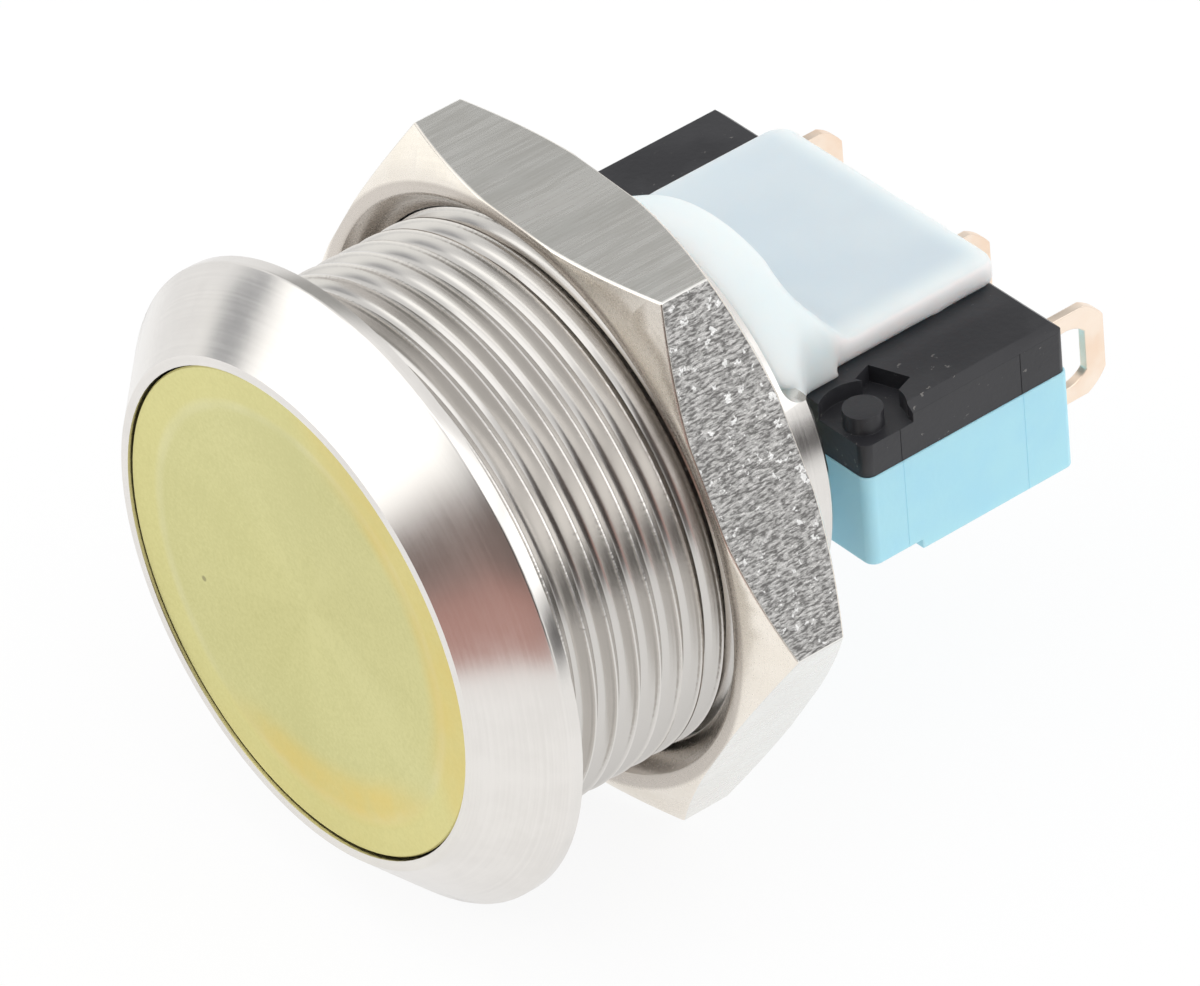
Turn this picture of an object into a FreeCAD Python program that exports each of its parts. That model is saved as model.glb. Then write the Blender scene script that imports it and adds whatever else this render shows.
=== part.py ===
import FreeCAD, Part
import math
import os
import Sketcher

# Metal push button for a panel hole of 22 mm, with a snap-action switch held behind it.
# Millimetres. The origin is the centre of the flange's seat, where it meets the panel.
# The axis is Y: the button faces -Y and the solder terminals point to +Y. Z is up.

# Driving dimensions, each written once
SIZES = {
    # how far a cutting shape reaches past the face that it opens
    "cutter_reach": 1.0,
    # bushing
    "flange_reach": 2.1,
    "flange_height": 3.0,
    "flange_rim": 0.5,
    "flange_rim_round": 0.15,
    "land_width": 0.4,
    "barrel_wall": 0.89,
    "well_floor": 0.3,
    "thread_radius": 10.9,
    "thread_length": 13.0,
    "thread_chamfer": 0.5,
    "spring_shelf": 1.41,
    "web_front": 7.0,
    "web_thickness": 2.5,
    "key_root": 0.25,
    "neck_step": 2.2,
    "neck_length": 2.5,
    "neck_chamfer": 0.2,
    "neck_wall": 1.3,
    "window_floor": 4.15,
    "window_length": 1.0,
    "window_corner": 0.7,
    "snap_bead_height": 0.25,
    "snap_bead_place": 1.4,
    # button
    "cap_clearance": 0.23,
    "cap_recess": 0.2,
    "cap_thickness": 1.95,
    "cap_edge": 0.2,
    "ring_border": 1.38,
    "ring_step": 0.14,
    "dish_depth": 0.3,
    "stem_radius": 4.0,
    "stem_flat": 3.2,
    "stem_clearance": 0.06,
    "stem_end_chamfer": 0.4,
    "seal_thickness": 0.8,
    "seal_place": 0.8,
    "seal_clearance": 0.03,
    "groove_clearance": 0.05,
    # return spring
    "spring_wire": 0.8,
    "spring_turns": 4.5,
    "spring_end_gap": 0.03,
    # retaining ring
    "clip_thickness": 0.8,
    "clip_radius": 5.2,
    "clip_groove_depth": 0.8,
    "clip_mouth": 5.0,
    "clip_clearance": 0.03,
    # pusher in the stem's end
    "pusher_radius": 2.6,
    "pusher_head": 1.7,
    "pusher_shank_radius": 1.5,
    "pusher_shank_length": 3.0,
    "pusher_clearance": 0.04,
    "pusher_gap": 0.05,
    "pusher_hole_spare": 0.16,
    # panel nut
    "nut_wall": 1.47,
    "nut_thickness": 4.26,
    "thread_left": 0.8,
    "nut_turn": -3.67,
    "nut_chamfer_reach": 0.09,
    "nut_chamfer_angle": 30.0,
    "nut_countersink_reach": 0.99,
    "nut_running_gap": 0.05,
    # snap-action switch
    "switch_left": -11.45,
    "switch_length": 20.1,
    "switch_gap": 1.5,
    "switch_depth": 9.55,
    "base_overhang": 0.35,
    "base_height": 3.97,
    "base_foot": 0.42,
    "base_foot_start": 2.45,
    "base_corner": 0.45,
    "base_rear_corner": 0.35,
    "cover_height": 2.2,
    "cover_inset": 0.06,
    "cover_bevel": 0.36,
    "case_wall": 0.9,
    "base_floor": 0.85,
    "cover_cavity": 0.95,
    "hole_radius": 1.2,
    "hole_wall": 0.4,
    "hole_spacing": 9.9,
    "hole_from_rear": 2.65,
    # lever seat in the cover's corner
    "seat_floor": 1.45,
    "seat_radius": 1.65,
    "seat_boss_radius": 0.78,
    "seat_boss_in": 1.25,
    "seat_boss_back": 1.05,
    "seat_front_reach": 1.32,
    "seat_slot_length": 1.8,
    "seat_slot_width": 0.95,
    "seat_slot_turn": 20.0,
    "seat_slot_in": 1.55,
    "seat_slot_back": 0.95,
    "seat_side_back": 1.35,
    # plunger
    "plunger_radius": 1.2,
    "plunger_reach": 1.25,
    "plunger_clearance": 0.06,
    "plunger_collar_side_gap": 0.135,
    "plunger_collar": 0.5,
    "plunger_collar_gap": 0.05,
    "plunger_nose_radius": 0.6,
    "plunger_nose": 0.1,
    "plunger_round": 0.25,
    # terminals
    "terminal_thickness": 0.4,
    "terminal_width": 3.0,
    "terminal_head_radius": 2.25,
    "terminal_head_half": 2.03,
    "terminal_eye_radius": 1.3,
    "terminal_head_place": 1.25,
    "common_head_place": 1.6,
    "terminal_tip": 1.9,
    "terminal_strip_reach": 0.14,
    "terminal_eye_tip": 0.95,
    "terminal_fit": 0.03,
    "common_place": -8.85,
    "open_place": 0.3,
    "closed_place": 6.8,
    # contacts and blade
    "arm_width": 2.2,
    "contact_place": 5.2,
    "contact_radius": 0.9,
    "contact_face_radius": 0.54,
    "contact_head": 0.4,
    "contact_dome": 0.12,
    "contact_shank_radius": 0.4,
    "contact_fit": 0.03,
    "contact_rest_gap": 0.05,
    "contact_opening": 0.9,
    "front_arm_gap": 0.1,
    "blade_thickness": 0.2,
    "blade_width": 3.0,
    "blade_gap": 0.06,
    "blade_tip": 0.75,
    "pivot_place": -7.7,
    "blade_root": 0.6,
    "window_start": 2.7,
    "window_end": 6.5,
    "blade_window_width": 1.8,
    "root_tab_length": 1.4,
    "rivet_radius": 0.4,
    "rivet_head_radius": 0.8,
    "rivet_head": 0.35,
    "spring_arm_width": 1.6,
    "spring_arm_place": 1.9,
    "snap_spring_radius": 2.1,
    "snap_spring_thickness": 0.15,
    "snap_spring_width": 1.5,
    "snap_spring_seat": 0.3,
    "snap_spring_lead": 0.7,
    "snap_spring_top_gap": 0.1,
    # holder
    "holder_clearance": 0.05,
    "plug_bore_gap": 0.5,
    "plug_start": 2.7,
    "shoulder_taper": 1.15,
    "shoulder_rear": 0.65,
    "shoulder_lean": 0.07,
    "shoulder_half_width": 7.4,
    "key_play": 0.2,
    "plate_left": -7.8,
    "plate_right": 5.02,
    "plate_overhang": 0.4,
    "plate_thickness": 1.1,
    "plate_round": 0.45,
    "plate_corner": 0.9,
    "plate_root": 1.7,
    "foot_step": 0.45,
    "foot_length": 1.7,
    "slope_top": 3.5,
    "slope_length": 1.85,
    "peg_clearance": 0.06,
    "peg_short": 0.3,
    "peg_chamfer": 0.25,
}

document = FreeCAD.newDocument("PushButton")
sheet = document.addObject("Spreadsheet::Sheet", "Sizes")
for row, (alias, value) in enumerate(SIZES.items(), start=1):
    sheet.set(f"A{row}", alias)
    sheet.set(f"B{row}", repr(value))
    sheet.setAlias(f"B{row}", alias)
document.recompute()


class Size:
    """A length or angle worked out from the sheet: its expression, and its value for first drafts."""

    def __init__(self, text, value):
        self.text = text
        self.value = value

    def __add__(self, other):
        other = as_size(other)
        return Size(f"({self.text} + {other.text})", self.value + other.value)

    def __sub__(self, other):
        other = as_size(other)
        return Size(f"({self.text} - {other.text})", self.value - other.value)

    def __mul__(self, other):
        other = as_size(other)
        return Size(f"({self.text} * {other.text})", self.value * other.value)

    def __truediv__(self, other):
        other = as_size(other)
        return Size(f"({self.text} / {other.text})", self.value / other.value)

    def __neg__(self):
        return Size(f"(0 - {self.text})", -self.value)


def as_size(number):
    if isinstance(number, Size):
        return number
    return Size(repr(float(number)), float(number))


def of(alias):
    """The size that the sheet holds under this name."""
    return Size(f"Sizes.{alias}", SIZES[alias])


def cosine(angle):
    return Size(f"cos({angle.text} * 1 deg)", math.cos(math.radians(angle.value)))


def sine(angle):
    return Size(f"sin({angle.text} * 1 deg)", math.sin(math.radians(angle.value)))


def tangent(angle):
    return Size(f"tan({angle.text} * 1 deg)", math.tan(math.radians(angle.value)))


# two faces this close are taken as the same one
SAME = 0.001
# the hidden spring's round wire is drawn with this many sides
WIRE_SIDES = 8
ZERO = as_size(0)
AXES = {
    "x": FreeCAD.Rotation(FreeCAD.Vector(0, 1, 0), 90),
    "y": FreeCAD.Rotation(FreeCAD.Vector(1, 0, 0), -90),
    "z": FreeCAD.Rotation(),
}


def bind(thing, **sizes):
    """Tie properties to the sheet; a double underscore stands for a dot."""
    for name, size in sizes.items():
        path = name.replace("__", ".")
        thing.setExpression(path, as_size(size).text)
    return thing


def place(thing, x=ZERO, y=ZERO, z=ZERO):
    return bind(thing, Placement__Base__x=x, Placement__Base__y=y, Placement__Base__z=z)


def new_body(label):
    body = document.addObject("PartDesign::Body", label)
    body.Label = label
    return body


def outline(body, name, plane, points):
    """A closed sketch through these points on one of the body's own planes, every point tied to the sheet."""
    sketch = body.newObject("Sketcher::SketchObject", name)
    for feature in body.Origin.OriginFeatures:
        if feature.Role == plane:
            sketch.AttachmentSupport = [(feature, "")]
    sketch.MapMode = "FlatFace"
    corners = [(as_size(across), as_size(along)) for across, along in points]
    drafts = [FreeCAD.Vector(across.value, along.value, 0) for across, along in corners]
    count = len(corners)
    for index in range(count):
        sketch.addGeometry(Part.LineSegment(drafts[index], drafts[(index + 1) % count]), False)
    for index in range(count):
        sketch.addConstraint(Sketcher.Constraint("Coincident", index, 2, (index + 1) % count, 1))
    for index, (across, along) in enumerate(corners):
        for kind, size in (("DistanceX", across), ("DistanceY", along)):
            rule = Sketcher.Constraint(kind, -1, 1, index, 1, size.value)
            number = sketch.addConstraint(rule)
            sketch.setExpression(f"Constraints[{number}]", size.text)
    return sketch


def revolve(body, name, sketch, kind="PartDesign::Revolution"):
    """Turn a sketch of radius and station round the Y axis, to add or to cut."""
    turned = body.newObject(kind, name)
    turned.Profile = sketch
    turned.ReferenceAxis = (sketch, ["V_Axis"])
    turned.Angle = 360
    sketch.Visibility = False
    return turned


def turned_piece(label, profile):
    body = new_body(label)
    revolve(body, f"{label}_turning", outline(body, f"{label}_profile", "XY_Plane", profile))
    document.recompute()
    return body


def box(name, x, y, z):
    """A block between pairs of low and high places."""
    block = document.addObject("Part::Box", name)
    low = [as_size(pair[0]) for pair in (x, y, z)]
    high = [as_size(pair[1]) for pair in (x, y, z)]
    place(block, *low)
    return bind(block, Length=high[0] - low[0], Width=high[1] - low[1], Height=high[2] - low[2])


def rod(name, axis, radius, span, x=ZERO, y=ZERO, z=ZERO):
    """A cylinder along one axis, between two stations on it."""
    low, high = (as_size(station) for station in span)
    bar = document.addObject("Part::Cylinder", name)
    bar.Placement = FreeCAD.Placement(FreeCAD.Vector(), AXES[axis])
    bind(bar, Radius=radius, Height=high - low)
    middle = {"x": x, "y": y, "z": z}
    middle[axis] = low
    return place(bar, **middle)


def join(name, pieces):
    whole = document.addObject("Part::MultiFuse", name)
    whole.Shapes = pieces
    whole.Refine = True
    return whole


def overlap_of(name, first, second):
    common = document.addObject("Part::Common", name)
    common.Base = first
    common.Tool = second
    return common


def cut(name, base, tools):
    """The base without its tools; the last step takes the given name."""
    for number, tool in enumerate(tools, start=1):
        step = document.addObject("Part::Cut", name if number == len(tools) else f"{name}_step")
        step.Base = base
        step.Tool = tool
        base = step
    base.Refine = True
    return base


def round_edges(name, base, radius, chosen, kind="Part::Fillet"):
    """Fillet or chamfer the base's edges that the test picks."""
    document.recompute()
    rounded = document.addObject(kind, name)
    rounded.Base = base
    picked = [number for number, edge in enumerate(base.Shape.Edges, start=1) if chosen(edge)]
    rounded.Edges = [(number, radius.value, radius.value) for number in picked]
    return rounded


def near(first, second):
    return abs(first - second) < SAME


def is_upright(edge, x=None, y=None):
    """An edge along Z, through the given place where one is given."""
    bounds = edge.BoundBox
    flat = bounds.XLength < SAME and bounds.YLength < SAME
    at_x = x is None or near(bounds.XMin, x.value)
    at_y = y is None or near(bounds.YMin, y.value)
    return flat and at_x and at_y and bounds.ZLength > SAME


# Stations along the axis that several pieces share
past = of("cutter_reach")
thread_radius = of("thread_radius")
flange_radius = thread_radius + of("flange_reach")
well_radius = thread_radius - of("barrel_wall")
spring_bore = well_radius - of("spring_shelf")
neck_radius = thread_radius - of("neck_step")
cap_radius = well_radius - of("cap_clearance")
cap_front = of("cap_recess") - of("flange_height")
cap_back = cap_front + of("cap_thickness")
web_rear = of("web_front") + of("web_thickness")
thread_end = of("thread_length")
neck_end = thread_end + of("neck_length")
rear_bore = neck_radius - of("neck_wall")
window_start = neck_end - of("window_length")
bead_station = thread_end + of("snap_bead_place")
guide_radius = of("stem_radius") + of("stem_clearance")
clip_front = web_rear + of("clip_clearance")
clip_back = clip_front + of("clip_thickness")
clip_groove_radius = of("stem_radius") - of("clip_groove_depth")
switch_front = neck_end + of("switch_gap")
pusher_end = switch_front - of("plunger_reach") - of("pusher_gap")
stem_end = pusher_end - of("pusher_head")
switch_rear = switch_front + of("switch_depth")
base_rear = switch_rear + of("base_overhang")
switch_right = of("switch_left") + of("switch_length")
cavity_front = switch_front + of("case_wall")
cavity_rear = base_rear - of("case_wall")
cavity_left = of("switch_left") + of("case_wall")
cavity_right = switch_right - of("case_wall")
# the works lie half-way up the closed case
middle = (of("cover_cavity") + of("base_floor") - of("base_height")) / 2


def make_bushing():
    """Flange, well, threaded barrel and neck, turned from one bar; the fine thread is not cut here."""
    bead = of("snap_bead_height") + of("holder_clearance")
    profile = [
        (well_radius, -of("flange_height")),
        (well_radius + of("land_width"), -of("flange_height")),
        (flange_radius, -of("flange_rim")),
        (flange_radius, 0),
        (thread_radius, 0),
        (thread_radius, thread_end - of("thread_chamfer")),
        (thread_radius - of("thread_chamfer"), thread_end),
        (neck_radius, thread_end),
        (neck_radius, neck_end - of("neck_chamfer")),
        (neck_radius - of("neck_chamfer"), neck_end),
        (rear_bore, neck_end),
        (rear_bore, bead_station + bead),
        (rear_bore + bead, bead_station),
        (rear_bore, bead_station - bead),
        (rear_bore, web_rear),
        (guide_radius, web_rear),
        (guide_radius, of("web_front")),
        (spring_bore, of("web_front")),
        (spring_bore, of("well_floor")),
        (well_radius, of("well_floor")),
    ]
    turning = turned_piece("bushing_turning", profile)
    far = flange_radius
    # the key window across the neck's rear, its inner corner as round as the cutter
    block = box("window_block", (-far, far), (window_start, neck_end + past), (of("window_floor"), far))

    def at_window_corner(edge):
        bounds = edge.BoundBox
        flat = bounds.YLength < SAME and bounds.ZLength < SAME
        return flat and near(bounds.YMin, window_start.value) and near(bounds.ZMin, SIZES["window_floor"])

    window = round_edges("neck_window", block, of("window_corner"), at_window_corner)
    # the guide hole has one flat, which keeps the button from turning
    key_bottom = of("stem_flat") + of("stem_clearance")
    key_top = guide_radius + of("key_root")
    key = box("guide_key", (-guide_radius, guide_radius), (of("web_front"), web_rear), (key_bottom, key_top))
    keyed = join("bushing_keyed", [turning, key])
    milled = cut("bushing_milled", keyed, [window])

    def is_rim(edge):
        bounds = edge.BoundBox
        at_rim = near(bounds.XMax, flange_radius.value)
        flat = bounds.YLength < SAME
        return flat and at_rim and near(bounds.YMin, -SIZES["flange_rim"])

    return round_edges("bushing", milled, of("flange_rim_round"), is_rim)


def make_push_button():
    """The cap with its raised ring and dished face, the seal's groove, and the stem in one piece."""
    ring_radius = cap_radius - of("ring_border")
    step = cap_front + of("ring_step")
    groove_front = cap_front + of("seal_place")
    groove_back = groove_front + of("seal_thickness") + of("groove_clearance") * 2
    groove_floor = well_radius - of("seal_thickness") - of("seal_clearance") * 2
    slot_back = clip_back + of("clip_clearance")
    slot_front = clip_front - of("clip_clearance")
    hole = of("pusher_shank_radius") + of("pusher_clearance")
    hole_floor = stem_end - of("pusher_shank_length") - of("pusher_hole_spare")
    profile = [
        (0, step),
        (ring_radius, step),
        (ring_radius + of("ring_step"), cap_front),
        (cap_radius - of("cap_edge"), cap_front),
        (cap_radius, cap_front + of("cap_edge")),
        (cap_radius, groove_front),
        (groove_floor, groove_front),
        (groove_floor, groove_back),
        (cap_radius, groove_back),
        (cap_radius, cap_back),
        (of("stem_radius"), cap_back),
        (of("stem_radius"), slot_front),
        (clip_groove_radius, slot_front),
        (clip_groove_radius, slot_back),
        (of("stem_radius"), slot_back),
        (of("stem_radius"), stem_end - of("stem_end_chamfer")),
        (of("stem_radius") - of("stem_end_chamfer"), stem_end),
        (hole, stem_end),
        (hole, hole_floor),
        (0, hole_floor),
    ]
    turning = turned_piece("button_turning", profile)
    # a large ball scoops the dish, so its edge meets the ring's foot
    depth = of("dish_depth")
    ball_radius = (ring_radius * ring_radius + depth * depth) / (depth * 2)
    ball = document.addObject("Part::Sphere", "dish_ball")
    bind(ball, Radius=ball_radius)
    place(ball, y=step + depth - ball_radius)
    wide = of("stem_radius") + past
    flat = box("stem_flat_cut", (-wide, wide), (cap_back, stem_end + past), (of("stem_flat"), wide))
    return cut("push_button", turning, [ball, flat])


def make_button_seal():
    ring = document.addObject("Part::Torus", "button_seal")
    half = of("seal_thickness") / 2
    middle_radius = well_radius - of("seal_clearance") - half
    bind(ring, Radius1=middle_radius, Radius2=half)
    ring.Placement = FreeCAD.Placement(FreeCAD.Vector(), AXES["y"])
    return place(ring, y=cap_front + of("seal_place") + of("groove_clearance") + half)


def make_return_spring():
    """A wire coil with ground ends, seated between the cap and the web."""
    gap = SIZES["spring_end_gap"]
    front = cap_back.value + gap
    back = SIZES["web_front"] - gap
    wire_radius = SIZES["spring_wire"] / 2
    radius = ((guide_radius + spring_bore) / 2).value
    length = back - front
    pitch = length / SIZES["spring_turns"]
    path = Part.makeHelix(pitch, length, radius)
    turns = [math.radians((side + 0.5) * 360 / WIRE_SIDES) for side in range(WIRE_SIDES + 1)]
    corners = [(radius + wire_radius * math.cos(turn), 0, wire_radius * math.sin(turn)) for turn in turns]
    section = Part.makePolygon([FreeCAD.Vector(*corner) for corner in corners])
    coil = Part.Wire(path).makePipeShell([section], True, True)
    ground = Part.makeCylinder(radius + 2 * wire_radius, length)
    spring = document.addObject("Part::Feature", "return_spring")
    spring.Shape = coil.common(ground)
    spring.Placement = FreeCAD.Placement(FreeCAD.Vector(0, front, 0), AXES["y"])
    return spring


def make_retaining_ring():
    """A flat snap ring, open on one side so that it pushes on to the stem's groove."""
    span = (clip_front, clip_back)
    inner = clip_groove_radius + of("clip_clearance")
    outside = rod("clip_outside", "y", of("clip_radius"), span)
    hole = rod("clip_hole", "y", inner, (clip_front - past, clip_back + past))
    half = of("clip_mouth") / 2
    far = of("clip_radius") + past
    mouth = box("clip_mouth_cut", (-half, half), (clip_front - past, clip_back + past), (-far, 0))
    return cut("retaining_ring", outside, [hole, mouth])


def make_stem_pusher():
    edge = of("stem_end_chamfer")
    profile = [
        (0, stem_end - of("pusher_shank_length")),
        (of("pusher_shank_radius"), stem_end - of("pusher_shank_length")),
        (of("pusher_shank_radius"), stem_end),
        (of("pusher_radius"), stem_end),
        (of("pusher_radius"), pusher_end - edge),
        (of("pusher_radius") - edge / 2, pusher_end),
        (0, pusher_end),
    ]
    return turned_piece("stem_pusher", profile)


def make_panel_nut():
    """Hexagon, chamfered at its corners and countersunk, on both faces."""
    back = thread_end - of("thread_left")
    front = back - of("nut_thickness")
    corner = (thread_radius + of("nut_wall")) / cosine(as_size(30))
    chamfer_radius = thread_radius + of("nut_wall") + of("nut_chamfer_reach")
    countersink_radius = thread_radius + of("nut_countersink_reach")
    body = new_body("panel_nut")
    hexagon = []
    for side in range(6):
        angle = of("nut_turn") + 60 * side
        hexagon.append((corner * cosine(angle), corner * sine(angle)))
    sketch = outline(body, "nut_hexagon", "XZ_Plane", hexagon)
    bind(sketch, AttachmentOffset__Base__z=-front)
    blank = body.newObject("PartDesign::Pad", "nut_blank")
    blank.Profile = sketch
    blank.Reversed = True
    bind(blank, Length=of("nut_thickness"))
    sketch.Visibility = False
    document.recompute()
    # beyond the corners the cutting profile only has to clear the blank
    far = corner + past
    slope = tangent(of("nut_chamfer_angle"))
    fall = (far - chamfer_radius) * slope
    for name, face, inward in (("nut_front", front, 1), ("nut_back", back, -1)):
        shoulder = [
            (chamfer_radius, face),
            (far, face + fall * inward),
            (far, face - past * inward),
            (chamfer_radius, face - past * inward),
        ]
        cutter = outline(body, f"{name}_chamfer_profile", "XY_Plane", shoulder)
        revolve(body, f"{name}_chamfer", cutter, "PartDesign::Groove")
        document.recompute()
    bore = thread_radius + of("nut_running_gap")
    sink = countersink_radius - bore
    opening = [
        (0, front - past),
        (countersink_radius + past, front - past),
        (bore, front + sink),
        (bore, back - sink),
        (countersink_radius + past, back + past),
        (0, back + past),
    ]
    revolve(body, "nut_bore", outline(body, "nut_bore_profile", "XY_Plane", opening), "PartDesign::Groove")
    return body


def mounting_holes():
    """The two places where the switch's mounting holes stand."""
    centre = (of("switch_left") + switch_right) / 2
    y = switch_rear - of("hole_from_rear")
    half = of("hole_spacing") / 2
    return ((centre - half, y), (centre + half, y))


def terminal_places():
    return {
        "common": of("common_place"),
        "open": of("open_place"),
        "closed": of("closed_place"),
    }


def terminal_slots(prefix):
    """Cutters for the blades of the three terminals in the rear wall."""
    fit = of("terminal_fit")
    half = of("terminal_thickness") / 2 + fit
    reach = of("terminal_width") / 2 + fit
    slots = []
    for name, x in terminal_places().items():
        across = (x - half, x + half)
        up = (middle - reach, middle + reach)
        slots.append(box(f"{prefix}_{name}_slot", across, (cavity_rear - past, base_rear + past), up))
    return slots


def make_switch_base():
    """Moulded tray of the switch: outside, foot, cavity, mounting posts and slots."""
    bottom = -of("base_height")
    across = (of("switch_left"), switch_right)
    main = box("base_block", across, (switch_front, base_rear), (bottom, 0))
    foot_top = bottom + of("base_floor") / 2
    foot_y = (switch_front + of("base_foot_start"), base_rear)
    foot = box("base_foot_block", across, foot_y, (bottom - of("base_foot"), foot_top))
    solid = join("base_solid", [main, foot])
    sides = (of("switch_left").value, switch_right.value)

    def at_front(edge):
        return is_upright(edge, y=switch_front) and edge.BoundBox.XMin in sides_of(edge, sides)

    def at_rear(edge):
        return is_upright(edge, y=base_rear) and edge.BoundBox.XMin in sides_of(edge, sides)

    front_rounded = round_edges("base_front_rounded", solid, of("base_corner"), at_front)
    rounded = round_edges("base_rounded", front_rounded, of("base_rear_corner"), at_rear)
    floor = bottom + of("base_floor")
    cavity = box("base_cavity", (cavity_left, cavity_right), (cavity_front, cavity_rear), (floor, past))
    hollow = cut("base_hollow", rounded, [cavity])
    post = of("hole_radius") + of("hole_wall")
    posts = [
        rod(f"base_post_{number}", "z", post, (floor - of("base_floor") / 2, 0), x=x, y=y)
        for number, (x, y) in enumerate(mounting_holes())
    ]
    holes = [
        rod(f"base_hole_{number}", "z", of("hole_radius"), (bottom - of("base_foot") - past, past), x=x, y=y)
        for number, (x, y) in enumerate(mounting_holes())
    ]
    return cut(
        "switch_base",
        join("base_with_posts", [hollow] + posts),
        holes + terminal_slots("base") + [plunger_bore("base")],
    )


def sides_of(edge, sides):
    """The edge's own place, if it stands on one of these sides."""
    place_x = edge.BoundBox.XMin
    return [place_x] if any(near(place_x, side) for side in sides) else []


def plunger_bore(prefix):
    radius = of("plunger_radius") + of("plunger_clearance")
    return rod(f"{prefix}_plunger_bore", "y", radius, (switch_front - past, cavity_front + past), z=middle)


def make_switch_cover():
    """Moulded lid with bevelled top edges and the corner seat for a lever."""
    inset = of("cover_inset")
    top = of("cover_height")
    left = of("switch_left") + inset
    right = switch_right - inset
    front = switch_front + inset
    rear = base_rear - inset
    lid = box("cover_block", (left, right), (front, rear), (0, top))

    def at_front(edge):
        return is_upright(edge, y=front)

    def at_rear(edge):
        return is_upright(edge, y=rear)

    front_rounded = round_edges("cover_front_rounded", lid, of("base_corner"), at_front)
    rounded = round_edges("cover_rounded", front_rounded, of("base_rear_corner"), at_rear)

    bevels = []
    for name, plane, side in (("side", "XZ_Plane", right), ("rear", "YZ_Plane", rear)):
        wedge = new_body(f"cover_{name}_bevel")
        line = side + top - of("cover_bevel")
        corner = side + past
        above = top + past
        points = [(line - above, above), (corner, above), (corner, line - corner)]
        sketch = outline(wedge, f"cover_{name}_bevel_outline", plane, points)
        pad = wedge.newObject("PartDesign::Pad", f"cover_{name}_bevel_pad")
        pad.Profile = sketch
        pad.Midplane = True
        bind(pad, Length=(rear + past) * 2)
        sketch.Visibility = False
        bevels.append(wedge)
    document.recompute()
    cavity_top = of("cover_cavity")
    across = (cavity_left, cavity_right)
    cavity = box("cover_cavity_block", across, (cavity_front, cavity_rear), (-past, cavity_top))
    post = of("hole_radius") + of("hole_wall")
    posts = [
        rod(f"cover_post_{number}", "z", post, (0, top - of("cover_bevel")), x=x, y=y)
        for number, (x, y) in enumerate(mounting_holes())
    ]
    holes = [
        rod(f"cover_hole_{number}", "z", of("hole_radius"), (-past, top + past), x=x, y=y)
        for number, (x, y) in enumerate(mounting_holes())
    ]
    hollow = cut("cover_hollow", rounded, [cavity] + bevels)
    with_posts = join("cover_with_posts", [hollow] + posts)
    boss_x = right - of("seat_boss_in")
    boss_y = front + of("seat_boss_back")
    floor = of("seat_floor")
    seat_height = (floor, top + past)
    well = rod("seat_well", "z", of("seat_radius"), seat_height, x=boss_x, y=boss_y)
    corner_y = (front - past, boss_y + of("seat_side_back"))
    corner = box("seat_corner", (boss_x, right + past), corner_y, seat_height)
    lip_x = (boss_x - of("seat_front_reach"), right + past)
    lip = box("seat_front", lip_x, (front - past, boss_y), seat_height)
    slot = document.addObject("Part::Box", "seat_slot")
    length = of("seat_slot_length")
    bind(slot, Length=length, Width=of("seat_slot_width"), Height=top + past - floor)
    turn = FreeCAD.Rotation(FreeCAD.Vector(0, 0, 1), SIZES["seat_slot_turn"])
    slot.Placement = FreeCAD.Placement(FreeCAD.Vector(), turn)
    place(slot, x=boss_x - of("seat_slot_in"), y=boss_y + of("seat_slot_back"), z=floor)
    seat = join("seat_space", [well, corner, lip, slot])
    boss = rod("seat_boss", "z", of("seat_boss_radius"), (floor, top), x=boss_x, y=boss_y)
    space = cut("seat_cutter", seat, [boss])
    tools = holes + terminal_slots("cover") + [plunger_bore("cover"), space]
    return cut("switch_cover", with_posts, tools)


def make_switch_plunger():
    tip = switch_front - of("plunger_reach")
    collar_front = cavity_front + of("plunger_collar_gap")
    collar_back = collar_front + of("plunger_collar")
    collar_radius = of("cover_cavity") - middle - of("plunger_collar_side_gap")
    nose = collar_back + of("plunger_nose")
    edge = of("plunger_round")
    profile = [
        (0, tip),
        (of("plunger_radius") - edge, tip),
        (of("plunger_radius"), tip + edge),
        (of("plunger_radius"), collar_front),
        (collar_radius, collar_front),
        (collar_radius, collar_back),
        (of("plunger_nose_radius"), collar_back),
        (of("plunger_nose_radius"), nose),
        (0, nose),
    ]
    return place(turned_piece("switch_plunger", profile), z=middle)


# Stations of the contact set, from the front arm back to the rear arm
front_arm = cavity_front + of("front_arm_gap")
front_arm_back = front_arm + of("terminal_thickness")
front_contact_back = front_arm_back + of("contact_head")
moving_front = front_contact_back + of("contact_rest_gap")
blade_front = moving_front + of("contact_head")
blade_back = blade_front + of("blade_thickness")
moving_back = blade_back + of("contact_head")
rear_contact_front = moving_back + of("contact_opening")
rear_arm = rear_contact_front + of("contact_head")
rear_arm_back = rear_arm + of("terminal_thickness")
root_tab_front = blade_back + of("blade_gap")
root_tab_back = root_tab_front + of("terminal_thickness")


def eyelet(name, x, reach):
    """The rounded head with its eye, a given reach behind the case, and the flat tips of both."""
    half = of("terminal_thickness") / 2
    span = (x - half, x + half)
    wide = (x - half - past, x + half + past)
    centre = base_rear + reach
    radius = of("terminal_head_radius")
    half_head = of("terminal_head_half")
    eye = of("terminal_eye_radius")
    disc = rod(f"{name}_disc", "x", radius, span, y=centre, z=middle)
    disc_part = box(
        f"{name}_disc_part",
        wide,
        (base_rear, centre + of("terminal_tip")),
        (middle - half_head, middle + half_head),
    )
    eye_rod = rod(f"{name}_eye_rod", "x", eye, wide, y=centre, z=middle)
    eye_part = box(
        f"{name}_eye_part",
        wide,
        (centre - eye - past, centre + of("terminal_eye_tip")),
        (middle - eye - past, middle + eye + past),
    )
    head = overlap_of(f"{name}_head", disc, disc_part)
    return head, overlap_of(f"{name}_eye", eye_rod, eye_part)


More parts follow.
